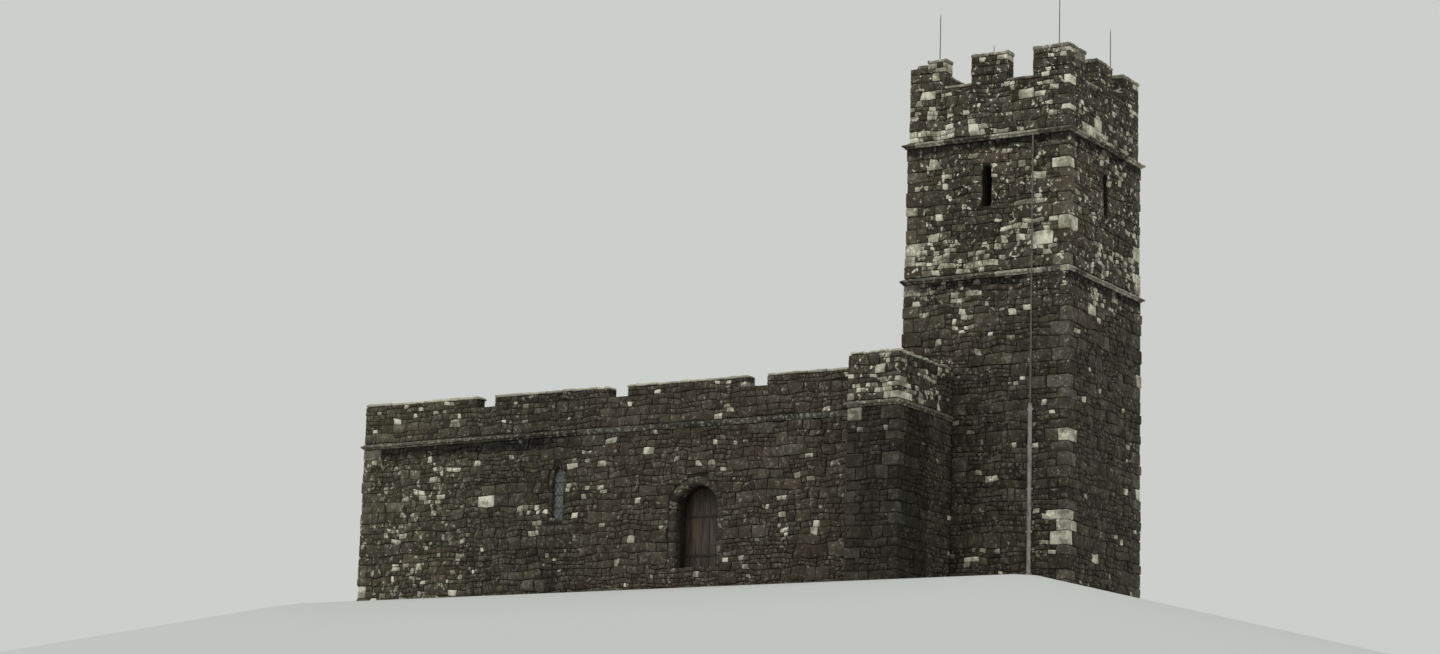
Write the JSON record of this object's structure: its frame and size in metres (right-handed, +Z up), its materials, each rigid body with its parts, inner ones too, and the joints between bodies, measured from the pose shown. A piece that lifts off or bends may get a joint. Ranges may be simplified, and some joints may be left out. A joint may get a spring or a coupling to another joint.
{
  "type": "small hill-top church with an embattled tower",
  "caption": "Small rubble-stone church: a low embattled nave, a square embattled tower with string courses, and a stair turret in their angle.",
  "frame": {"origin": "middle of the plan at the lowest ground that the walls run down to", "axes": "+X along the nave towards the tower, +Z up, -Y towards the side with the stair turret"},
  "size_m": [17.82, 7.26, 13.03],
  "materials": {
    "rubble": "rough rubble of dark volcanic stone in lime mortar, pale lichen patches",
    "dressed_stone": "roughly dressed stone, weathered and lichened",
    "floor_slabs": "worn flagstones",
    "oak": "old dark oak",
    "slate": "riven slates with moss",
    "ridge_tile": "weathered clay",
    "leaded_roof": "boards under dull lead sheet",
    "leaded_glass": "leaded quarries",
    "rod_metal": "dull weathered copper alloy",
    "guard_metal": "dull grey"
  },
  "bodies": {
    "root": {"nave_north_wall": "rubble", "nave_south_wall": "rubble", "nave_east_wall": "rubble", "nave_west_shoulders": "rubble", "nave_north_parapet": "rubble", "nave_south_parapet": "rubble", "tower_north_wall": "rubble", "tower_south_wall": "rubble", "tower_west_wall": "rubble", "tower_east_wall": "rubble", "tower_north_parapet": "rubble", "tower_south_parapet": "rubble", "tower_west_parapet": "rubble", "tower_east_parapet": "rubble", "turret_north_wall": "rubble", "turret_east_wall": "rubble", "turret_west_wall": "rubble", "door_surrounds": "dressed_stone", "lancet_surrounds": "dressed_stone", "gable_copings": "dressed_stone", "gable_apex_stone": "dressed_stone", "nave_north_copings": "dressed_stone", "nave_south_copings": "dressed_stone", "nave_string_course": "dressed_stone", "tower_lower_string": "dressed_stone", "tower_upper_string": "dressed_stone", "tower_merlon_copings": "dressed_stone", "tower_crenel_sills": "dressed_stone", "turret_coping": "dressed_stone", "turret_string_course": "dressed_stone", "nave_floor": "floor_slabs", "tower_ground_floor": "floor_slabs", "turret_roof": "floor_slabs", "plank_doors": "oak", "wall_plates": "oak", "ridge_beam": "oak", "tie_beams": "oak", "belfry_floor": "oak", "roof_north_slope": "slate", "roof_south_slope": "slate", "roof_ridge_tiles": "ridge_tile", "tower_roof": "leaded_roof", "lancet_glass": "leaded_glass", "lightning_rods": "rod_metal", "conductor_tape": "rod_metal", "conductor_guard": "guard_metal"}
  },
  "joints": []
}
